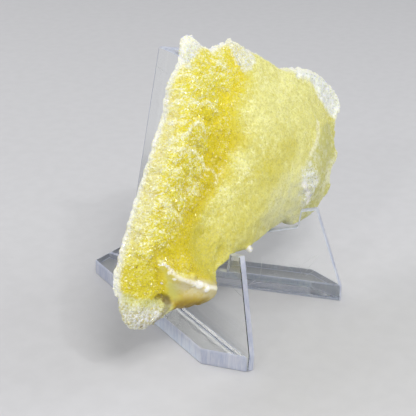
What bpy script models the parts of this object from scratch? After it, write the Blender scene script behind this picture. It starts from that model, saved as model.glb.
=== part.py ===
"""A drusy brucite crust leaning on a clear easel: two side plates that meet at a spine, each glued to a
thick foot strip. All driving sizes are millimetres at full size. +Z is up, the face looks along -Y."""

import math

import bmesh
import bpy
import numpy as np
from mathutils import Matrix, Vector, noise

MM = 0.001

# Easel
FOOT_LENGTH = 80.0  # along the outer face of a side plate, from the spine to the front edge
SPLAY = math.radians(20.9)  # each side plate from the middle plane
INWARD_LEAN = math.radians(4.4)  # each side plate leans in, so the two meet along the spine
PLATE_THICK = 2.0
PLATE_HEIGHT = 86.8
STRIP_WIDTH = 9.7
STRIP_HEIGHT = 5.4
STRIP_OUTER_LENGTH = 68.2  # the front end of the strip is cut on the slant
STRIP_BACK_Y = 6.7  # both strips are cut off along this line behind the spine
HOOK_TOP_FRONT = (70.9, 34.8)  # distance along the plate, height
HOOK_TOP_BACK = (65.4, 33.4)
LEDGE_FRONT = (64.3, 27.1)
LEDGE_BACK = (53.3, 24.0)
REST_TOP_ALONG = 31.5
GLUE_GAP = 0.3
SPINE_HALF_GAP = 0.15

# Where the crust leans: the plane through both rest edges
REST_LEAN = math.radians(16.5)
REST_ORIGIN = Vector((0.0, -50.4, 24.05))  # the low end of the rest edges, in the middle plane

# The middle of the floor rectangle under the whole object
FLOOR_MIDDLE = Vector((3.2, -34.45, 0.0))

# Crust outline: across, up the slope, and the height of the front rim above the rest plane
OUTLINE = (
    # horn and top edge
    (-2.0, 71.5, 2.5), (0.5, 69.5, 2.5), (2.0, 67.5, 2.5), (5.0, 65.0, 2.5), (10.0, 65.0, 3.0),
    (16.0, 65.5, 3.0), (19.0, 64.5, 3.0), (24.5, 60.5, 3.0), (30.5, 57.5, 3.0), (32.5, 55.5, 3.5),
    (35.5, 53.0, 4.0), (38.5, 50.5, 4.5), (47.0, 48.5, 5.0), (52.0, 47.5, 5.5), (56.5, 45.0, 6.5),
    (61.0, 41.0, 7.5), (64.5, 36.5, 8.5),
    # right end
    (66.5, 32.0, 9.0), (65.5, 28.5, 9.0), (60.0, 24.5, 9.0), (57.0, 18.5, 9.0), (58.0, 13.5, 9.0),
    (50.5, 9.5, 9.0), (49.0, 3.0, 8.0), (45.5, 1.5, 7.0), (40.0, -1.5, 6.0), (31.5, -2.0, 5.0),
    (28.0, -2.5, 4.5), (24.5, -1.0, 4.0),
    # low edge between the ledges
    (22.5, 1.0, 4.0), (14.0, 1.0, 4.5), (11.5, 1.0, 5.0), (2.0, 0.5, 5.5), (-0.5, 0.0, 5.5),
    (-8.5, 1.5, 6.0), (-11.0, 1.5, 6.5), (-16.5, 1.0, 8.0), (-22.0, 1.0, 9.0), (-24.0, -1.0, 10.0),
    # lip and low lobe
    (-28.0, -3.0, 12.0), (-30.5, -5.5, 11.5), (-35.0, -5.0, 10.0), (-40.0, -4.0, 8.5),
    (-44.0, -3.0, 7.0), (-45.5, -3.0, 5.5), (-49.0, -4.5, 4.0), (-51.5, -5.5, 3.5),
    (-55.5, -4.5, 3.0), (-59.5, -2.0, 3.0), (-60.0, 1.0, 2.5),
    # left edge
    (-60.0, 6.0, 2.5), (-60.0, 11.5, 2.5), (-57.5, 15.5, 2.5), (-53.5, 20.5, 3.0),
    (-49.5, 24.0, 3.0), (-45.0, 29.0, 3.0), (-40.5, 33.5, 3.0), (-36.5, 38.0, 3.0),
    (-31.5, 42.5, 3.0), (-26.5, 47.5, 3.0), (-23.0, 50.5, 3.0), (-20.5, 54.5, 3.0),
    (-17.5, 59.0, 3.0), (-13.5, 62.0, 3.0), (-9.5, 65.0, 2.5), (-7.5, 69.0, 2.5), (-5.0, 71.0, 2.5),
)
CRUST_MIDDLE = (2.0, 30.0)

# Front relief: height above the rest plane at places well inside the rim
RELIEF = (
    # left ridge, from the low lobe up to the horn
    (-53.0, 3.0, 6.5), (-50.0, 9.0, 8.0), (-47.0, 16.0, 9.0), (-40.0, 24.0, 10.0), (-33.0, 32.0, 10.5),
    (-26.0, 40.0, 10.5), (-19.0, 47.0, 10.0), (-13.0, 55.0, 9.0), (-6.0, 62.0, 7.0), (-3.0, 68.0, 4.0),
    # valley, from the top edge down to the low end
    (17.0, 58.0, 7.0), (12.0, 52.0, 6.5), (3.0, 46.0, 6.0), (-2.0, 40.0, 5.5), (-4.0, 33.0, 5.5),
    (-11.0, 27.0, 5.0), (-18.0, 21.0, 5.0), (-25.0, 14.0, 5.0), (-28.0, 8.0, 5.5), (-25.0, 3.5, 6.0),
    # broad right side
    (7.0, 36.0, 9.5), (2.0, 24.0, 10.5), (-8.0, 15.0, 9.5), (-14.0, 7.0, 8.5), (20.0, 44.0, 10.5),
    (24.0, 26.0, 13.5), (35.0, 35.0, 13.5), (12.0, 12.0, 11.5), (30.0, 12.0, 12.5), (40.0, 26.0, 14.5),
    (46.0, 38.0, 11.0), (56.0, 40.0, 8.5), (30.0, 3.0, 7.5), (18.0, 4.0, 6.5), (2.0, 5.0, 8.0),
    (26.0, 52.0, 7.5),
    # right margin beyond its ridge
    (43.0, 20.0, 13.5), (37.0, 10.0, 12.0), (52.0, 27.0, 10.0), (51.0, 16.0, 9.5), (45.0, 6.0, 8.5),
    # curled lip and the thin lobe beside it
    (-42.0, 12.0, 9.5), (-41.0, 7.5, 12.5), (-36.5, 3.5, 13.5), (-31.0, 0.5, 13.5), (-46.0, 2.0, 6.5),
)
VALLEY = ((-27.0, -6.0), (-28.0, 4.0), (-25.0, 15.0), (-18.0, 22.0), (-10.0, 28.0), (-4.0, 34.0),
          (3.0, 46.0), (16.0, 58.0), (24.0, 72.0))  # the valley's line, across and up the slope
RIM_ROUND = 5.5  # how far in from the rim the front takes to reach its full height
LUMP_SIZE = 6.4  # one rounded lump of the druse
LUMP_LEFT, LUMP_RIGHT = 1.5, 0.75  # the lumps' heights either side of the valley
SWELL_SIZE, SWELL_HEIGHT = 13.0, 0.9  # slow swells under the lumps
LIP_MIDDLE, LIP_SMOOTH = (-36.0, 2.0), (4.0, 9.0)  # the lip is smooth this near its middle
BACK_CLEAR = 0.75  # the back stays this far in front of the rest edges
BACK_DROP = 4.0  # how far the back falls behind the rest plane beyond the right plate
BACK_ROUGH = 0.5
BACK_CHAMFER = 0.9
RIM_BULGE, RIM_ROUGH = 0.35, 0.55
GRID = 60  # squares across the crust
KEEP = 0.54  # share of the triangles left by the decimation


def start():
    for obj in list(bpy.data.objects):
        bpy.data.objects.remove(obj, do_unlink=True)
    made = []
    for name in ("brucite_on_easel", "cutters"):
        collection = bpy.data.collections.new(name)
        bpy.context.scene.collection.children.link(collection)
        made.append(collection)
    made[1].hide_render = True
    return made


def material(name, colour, roughness, **others):
    made = bpy.data.materials.new(name)
    made.use_nodes = True
    shader = made.node_tree.nodes["Principled BSDF"]
    shader.inputs["Base Color"].default_value = (*colour, 1.0)
    shader.inputs["Roughness"].default_value = roughness
    for socket, value in others.items():
        shader.inputs[socket.replace("_", " ")].default_value = value
    return made


def flat_sheet(name, outline, thickness, collection):
    """A sheet from a flat outline in its own XY plane, with Z from 0 to the thickness, as a mesh."""
    curve = bpy.data.curves.new(name, "CURVE")
    curve.dimensions = "2D"
    curve.fill_mode = "BOTH"
    curve.extrude = thickness / 2.0 * MM
    spline = curve.splines.new("POLY")
    spline.points.add(len(outline) - 1)
    for point, (x, y) in zip(spline.points, outline):
        point.co = (x * MM, y * MM, 0.0, 1.0)
    spline.use_cyclic_u = True
    guide = bpy.data.objects.new(name + "_outline", curve)
    collection.objects.link(guide)
    bpy.context.view_layer.update()
    mesh = bpy.data.meshes.new_from_object(guide.evaluated_get(bpy.context.evaluated_depsgraph_get()))
    bpy.data.objects.remove(guide, do_unlink=True)
    sheet = bmesh.new()
    sheet.from_mesh(mesh)
    bmesh.ops.remove_doubles(sheet, verts=sheet.verts, dist=1e-6)
    bmesh.ops.translate(sheet, verts=sheet.verts, vec=(0.0, 0.0, thickness / 2.0 * MM))
    bmesh.ops.recalc_face_normals(sheet, faces=sheet.faces)
    sheet.to_mesh(mesh)
    sheet.free()
    mesh.name = name
    obj = bpy.data.objects.new(name, mesh)
    collection.objects.link(obj)
    return obj


def cutting_block(name, middle, size, rotation, collection):
    block = bmesh.new()
    bmesh.ops.create_cube(block, size=1.0)
    mesh = bpy.data.meshes.new(name)
    block.to_mesh(mesh)
    block.free()
    obj = bpy.data.objects.new(name, mesh)
    obj.location = (Vector(middle) - FLOOR_MIDDLE) * MM
    obj.rotation_euler = rotation
    obj.scale = Vector(size) * MM
    obj.hide_render = True
    obj.display_type = "WIRE"
    collection.objects.link(obj)
    return obj


def cut(obj, block):
    made = obj.modifiers.new(block.name, "BOOLEAN")
    made.operation = "DIFFERENCE"
    made.object = block


def plate_axes(side, lean):
    """Directions along a plate, up it, and across its thickness inward, as a turn for its object.

    side is -1 for the left plate and 1 for the right one."""
    along = Vector((side * math.sin(SPLAY), -math.cos(SPLAY), 0.0))
    outward = Vector((side * math.cos(SPLAY), math.sin(SPLAY), 0.0))
    up = Vector((0.0, 0.0, 1.0)) * math.cos(lean) - outward * math.sin(lean)
    inward = along.cross(up)
    return Matrix((along, up, inward)).transposed().to_4x4()


def side_plate(name, side, look, parts, mitre):
    """A leaning plate with its rest edge, ledge and hook, run past the spine and mitred there."""
    rise = 1.0 / math.cos(INWARD_LEAN)  # heights are upright ones, the sheet is tilted
    spine = math.tan(INWARD_LEAN) * math.cos(SPLAY) / math.sin(SPLAY)
    past = 2.0  # runs this far past the spine before the mitre
    profile = [
        (-past, 0.0), (FOOT_LENGTH, 0.0), (FOOT_LENGTH, STRIP_HEIGHT), HOOK_TOP_FRONT, HOOK_TOP_BACK,
        LEDGE_FRONT, LEDGE_BACK, (REST_TOP_ALONG, PLATE_HEIGHT),
        (spine * PLATE_HEIGHT - past, PLATE_HEIGHT),
    ]
    obj = flat_sheet(name, [(along, height * rise) for along, height in profile], PLATE_THICK, parts)
    turn = plate_axes(side, INWARD_LEAN)
    inner = 0.0 if side > 0 else -PLATE_THICK * MM  # the sheet's thickness runs inward on both sides
    obj.data.transform(Matrix.Translation((0.0, 0.0, inner)))
    lift = Vector((0.0, 0.0, PLATE_THICK * math.sin(INWARD_LEAN)))  # onto its inner low edge
    obj.matrix_world = Matrix.Translation((lift - FLOOR_MIDDLE) * MM) @ turn
    obj.data.materials.append(look)
    cut(obj, mitre)
    return obj


def foot_strip(name, side, look, parts, mitre, back_cut):
    """The thick strip along the outer face of a plate, mitred behind the spine and cut off square."""
    past = 12.0
    outline = [
        (-past, GLUE_GAP), (FOOT_LENGTH, GLUE_GAP), (STRIP_OUTER_LENGTH, STRIP_WIDTH),
        (-past, STRIP_WIDTH),
    ]
    obj = flat_sheet(name, [(along, side * outward) for along, outward in outline], STRIP_HEIGHT, parts)
    turn = plate_axes(side, 0.0)
    flat = turn @ Matrix.Rotation(math.radians(-90.0), 4, "X")
    obj.matrix_world = Matrix.Translation(-FLOOR_MIDDLE * MM) @ flat
    obj.data.materials.append(look)
    cut(obj, mitre)
    cut(obj, back_cut)
    return obj


def smooth_surface(samples):
    """A thin-plate surface through (x, y, value) samples, as a function of arrays."""
    data = np.array(samples, float)
    count = len(data)

    def kernel(x, y):
        squared = (x[:, None] - data[None, :, 0]) ** 2 + (y[:, None] - data[None, :, 1]) ** 2
        return 0.5 * squared * np.log(squared + 1e-9)

    system = np.zeros((count + 3, count + 3))
    system[:count, :count] = kernel(data[:, 0], data[:, 1]) + np.eye(count) * 2.0
    system[:count, count:] = np.column_stack([np.ones(count), data[:, :2]])
    system[count:, :count] = system[:count, count:].T
    weights = np.linalg.solve(system, np.concatenate([data[:, 2], np.zeros(3)]))

    def value(x, y):
        plane = weights[count] + weights[count + 1] * x + weights[count + 2] * y
        return kernel(x, y) @ weights[:count] + plane

    return value


def unit(edge0, edge1, value):
    """0 to 1 with soft ends between two edges."""
    t = np.clip((value - edge0) / (edge1 - edge0), 0.0, 1.0)
    return t * t * (3.0 - 2.0 * t)


def domes(across, up, size, seed):
    """Rounded lumps packed side by side, 0 in the creases and 1 on the crowns."""
    made = np.empty(len(across))
    for i, (x, y) in enumerate(zip(across, up)):
        bend = 1.5 * noise.noise(Vector((x / 9.0, y / 9.0, seed + 5.3)))
        nearest = noise.voronoi(Vector(((x + bend) / size, (y - bend) / size, seed)))[0]
        made[i] = math.sqrt(max(0.0, 1.0 - min(1.0, nearest[0] ** 2 * 1.5)))
    return made


def rough(across, up, depth, size, seed):
    return np.array([
        noise.fractal(Vector((x / size, y / size, d / size + seed)), 0.9, 2.0, 3)
        for x, y, d in zip(across, up, depth)
    ])


def disc_from_square(x, y):
    """Square rings to round ones: the share of the way out, and the angle."""
    share = np.maximum(abs(x), abs(y))
    longer = np.where(share > 0.0, share, 1.0)
    sideways = math.pi / 4.0 * y / longer * np.sign(x) + np.where(x < 0.0, math.pi, 0.0)
    upward = (math.pi / 2.0 - math.pi / 4.0 * x / longer) * np.sign(y)
    return share, np.where(abs(x) >= abs(y), sideways, upward)


def crust_shape(x, y, level):
    """Across, up and height for a cage point: x and y in its square, level 0 at the back and 1 in front."""
    share, angle = disc_from_square(x, y)
    points = np.array(OUTLINE)
    from_middle = points[:, :2] - CRUST_MIDDLE
    angles = np.arctan2(from_middle[:, 1], from_middle[:, 0])
    reach = np.interp(angle, *zip(*sorted(zip(angles, np.hypot(*from_middle.T)))), period=2.0 * math.pi)
    rim = np.interp(angle, *zip(*sorted(zip(angles, points[:, 2]))), period=2.0 * math.pi)
    across = CRUST_MIDDLE[0] + share * reach * np.cos(angle)
    up = CRUST_MIDDLE[1] + share * reach * np.sin(angle)
    inside = (1.0 - share) * reach
    flat = np.zeros(len(across))

    valley = np.interp(up, [v for _, v in VALLEY], [u for u, _ in VALLEY])
    left = 1.0 - unit(-3.0, 5.0, across - valley)
    lumps = domes(across, up, LUMP_SIZE, 2.7) * (LUMP_RIGHT + (LUMP_LEFT - LUMP_RIGHT) * left)
    swell = rough(across, up, flat, SWELL_SIZE, 11.0) * SWELL_HEIGHT
    lumpy = 0.25 + 0.75 * unit(*LIP_SMOOTH, np.hypot(across - LIP_MIDDLE[0], up - LIP_MIDDLE[1]))
    height = smooth_surface(RELIEF)(across, up) + (lumps - 0.6 + swell) * lumpy
    rise = np.sqrt(1.0 - (1.0 - np.clip(inside / RIM_ROUND, 0.0, 1.0)) ** 2)
    front = rim + (np.maximum(height, rim * 0.7) - rim) * rise

    back = BACK_CLEAR - BACK_DROP * unit(24.0, 36.0, across) * unit(0.0, 14.0, inside)
    back += BACK_ROUGH * (0.5 + 0.5 * rough(across, up, flat, 7.0, 31.0)).clip(0.0, 1.0)
    back += BACK_CHAMFER * (1.0 - unit(0.0, 4.0, inside))
    height = back + (front - back) * level

    # The broken rim bulges a little between its two edges, except over the ledges.
    between = (level > 0.01) & (level < 0.99)
    bulge = (RIM_BULGE + RIM_ROUGH * rough(across, up, height, 3.2, 47.0)) * between * unit(1.6, 3.4, up)
    return across + bulge * np.cos(angle), up + bulge * np.sin(angle), height


def brucite(look, parts):
    cage = bmesh.new()
    bmesh.ops.create_grid(cage, x_segments=GRID, y_segments=GRID, size=1.0)
    lifted = bmesh.ops.extrude_face_region(cage, geom=cage.faces[:])["geom"]
    for vert in lifted:
        if isinstance(vert, bmesh.types.BMVert):
            vert.co.z = 1.0
    upright = [edge for edge in cage.edges if edge.verts[0].co.z != edge.verts[1].co.z]
    bmesh.ops.subdivide_edges(cage, edges=upright, cuts=2)
    bmesh.ops.triangulate(cage, faces=[face for face in cage.faces if len(face.verts) > 4])

    square = np.array([vert.co for vert in cage.verts])
    across, up, height = crust_shape(*square.T)
    up_slope = np.array((0.0, math.sin(REST_LEAN), math.cos(REST_LEAN)))
    outward = np.array((0.0, -math.cos(REST_LEAN), math.sin(REST_LEAN)))
    places = np.array(REST_ORIGIN - FLOOR_MIDDLE) + up[:, None] * up_slope + height[:, None] * outward
    places[:, 0] += across
    for vert, place in zip(cage.verts, places * MM):
        vert.co = place
    bmesh.ops.recalc_face_normals(cage, faces=cage.faces)
    mesh = bpy.data.meshes.new("brucite_crystal")
    cage.to_mesh(mesh)
    cage.free()
    mesh.shade_smooth()
    mesh.materials.append(look)
    crust = bpy.data.objects.new("brucite_crystal", mesh)
    parts.objects.link(crust)
    fewer = crust.modifiers.new("fewer_triangles", "DECIMATE")
    fewer.ratio = KEEP
    return crust


def main():
    parts, cutters = start()
    brucite(material("brucite_yellow", (0.82, 0.76, 0.12), 0.5, Subsurface_Weight=0.2), parts)
    past_back = cutting_block("strip_back_cut", (0.0, STRIP_BACK_Y + 20.0, 0.0), (120.0, 40.0, 40.0),
                              (0.0, 0.0, 0.0), cutters)
    for side, word in ((-1, "left"), (1, "right")):
        mitre = cutting_block(word + "_mitre_cut", (side * (50.0 * -1.0 + SPINE_HALF_GAP), 0.0, 60.0),
                              (100.0, 400.0, 200.0), (0.0, 0.0, 0.0), cutters)
        for name, build, cuts in ((word + "_side_plate", side_plate, [mitre]),
                                  (word + "_foot", foot_strip, [mitre, past_back])):
            clear = material(name + "_clear_acrylic", (0.93, 0.96, 0.97), 0.05, Transmission_Weight=1.0)
            build(name, side, clear, parts, *cuts)


main()
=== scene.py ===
# A drusy brucite crust on its clear easel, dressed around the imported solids. Metres, +Z up.
import math

import bmesh
import bpy
import numpy as np
from mathutils import Matrix, Vector, noise


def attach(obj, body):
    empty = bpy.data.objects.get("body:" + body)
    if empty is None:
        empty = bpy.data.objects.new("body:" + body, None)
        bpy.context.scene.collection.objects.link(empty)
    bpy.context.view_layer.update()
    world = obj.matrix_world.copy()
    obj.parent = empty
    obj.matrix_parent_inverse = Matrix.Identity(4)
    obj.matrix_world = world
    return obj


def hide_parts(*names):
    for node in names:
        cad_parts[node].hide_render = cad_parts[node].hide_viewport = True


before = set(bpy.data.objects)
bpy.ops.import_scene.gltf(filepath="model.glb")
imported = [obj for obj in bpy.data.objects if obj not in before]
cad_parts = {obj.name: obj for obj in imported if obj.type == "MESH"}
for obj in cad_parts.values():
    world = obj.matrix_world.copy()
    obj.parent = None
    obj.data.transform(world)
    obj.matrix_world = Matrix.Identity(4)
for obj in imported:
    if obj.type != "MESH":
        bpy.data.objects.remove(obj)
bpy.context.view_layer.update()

print("frame loaded:", ", ".join(sorted(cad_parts)))
mm = 0.001


# Shader maths: arithmetic on a Wire adds Math nodes to the look that it belongs to.
class Wire:
    def __init__(self, look, socket):
        self.look = look
        self.socket = socket

    def maths(self, operation, first, second=0.0):
        return self.look.node("ShaderNodeMath", {"operation": operation}, {0: first, 1: second})

    def __add__(self, other):
        return self.maths("ADD", self, other)

    def __radd__(self, other):
        return self.maths("ADD", other, self)

    def __sub__(self, other):
        return self.maths("SUBTRACT", self, other)

    def __rsub__(self, other):
        return self.maths("SUBTRACT", other, self)

    def __mul__(self, other):
        return self.maths("MULTIPLY", self, other)

    def __rmul__(self, other):
        return self.maths("MULTIPLY", other, self)

    def __abs__(self):
        return self.maths("ABSOLUTE", self)

    def within(self, low, high):
        return self.least(high).most(low)

    def most(self, other):
        return self.maths("MAXIMUM", self, other)

    def least(self, other):
        return self.maths("MINIMUM", self, other)

    def rise(self, low, high):  # 0 to 1 with soft ends; low may be the larger of the two
        return self.look.node("ShaderNodeMapRange", {"interpolation_type": "SMOOTHSTEP"},
                              {"Value": self, "From Min": low, "From Max": high})


class Look:
    def __init__(self, name, **fixed):
        self.material = bpy.data.materials.new(name)
        self.material.use_nodes = True
        self.tree = self.material.node_tree
        self.shader = self.tree.nodes["Principled BSDF"]
        for socket, value in fixed.items():
            self.set(socket.replace("_", " "), value)

    def node(self, kind, settings=None, sockets=None, output=0):
        made = self.tree.nodes.new(kind)
        for setting, value in (settings or {}).items():
            setattr(made, setting, value)
        for socket, value in (sockets or {}).items():
            self.join(made.inputs[socket], value)
        return Wire(self, made.outputs[output])

    def join(self, target, value):
        if isinstance(value, Wire):
            self.tree.links.new(value.socket, target)
        elif hasattr(target.default_value, "__len__") and len(value) == 3 < len(target.default_value):
            target.default_value = (*value, 1.0)
        else:
            target.default_value = value

    def set(self, socket, value):
        self.join(self.shader.inputs[socket], value)

    def mix(self, share, first, second):  # colours
        return self.node("ShaderNodeMix", {"data_type": "RGBA"}, {0: share, 6: first, 7: second}, 2)

    def place(self):
        return self.node("ShaderNodeTexCoord", output="Object")

    def attribute(self, name):
        return self.node("ShaderNodeAttribute", {"attribute_name": name}, output="Fac")

    def noise(self, size, detail=2.0, roughness=0.5, distortion=0.0, place=None):  # size in mm
        return self.node("ShaderNodeTexNoise", None, {
            "Vector": place or self.place(), "Scale": 1.0 / (size * mm), "Detail": detail,
            "Roughness": roughness, "Distortion": distortion})

    def cells(self, size, feature="F1", output="Distance", place=None):
        return self.node("ShaderNodeTexVoronoi", {"feature": feature}, {
            "Vector": place or self.place(), "Scale": 1.0 / (size * mm)}, output)

    def bump(self, height, depth, strength=1.0):  # depth in mm at a height of 1
        normal = self.node("ShaderNodeBump", None, {
            "Height": height, "Distance": depth * mm, "Strength": strength})
        self.set("Normal", normal)


def display(red, green, blue):  # a colour as a screen shows it, to a linear one
    return tuple(((c + 0.055) / 1.055) ** 2.4 if c > 0.04045 else c / 12.92 for c in (red, green, blue))


def link(obj):
    bpy.context.scene.collection.objects.link(obj)
    return obj


# The crust's own axes: across, up the easel's rest edges, and out from them.
lean = math.radians(16.5)
restOrigin = np.array((-3.2, -15.95, 24.05))  # mm
crustAxes = np.array(((1.0, 0.0, 0.0),
                      (0.0, math.sin(lean), math.cos(lean)),
                      (0.0, -math.cos(lean), math.sin(lean))))

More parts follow.
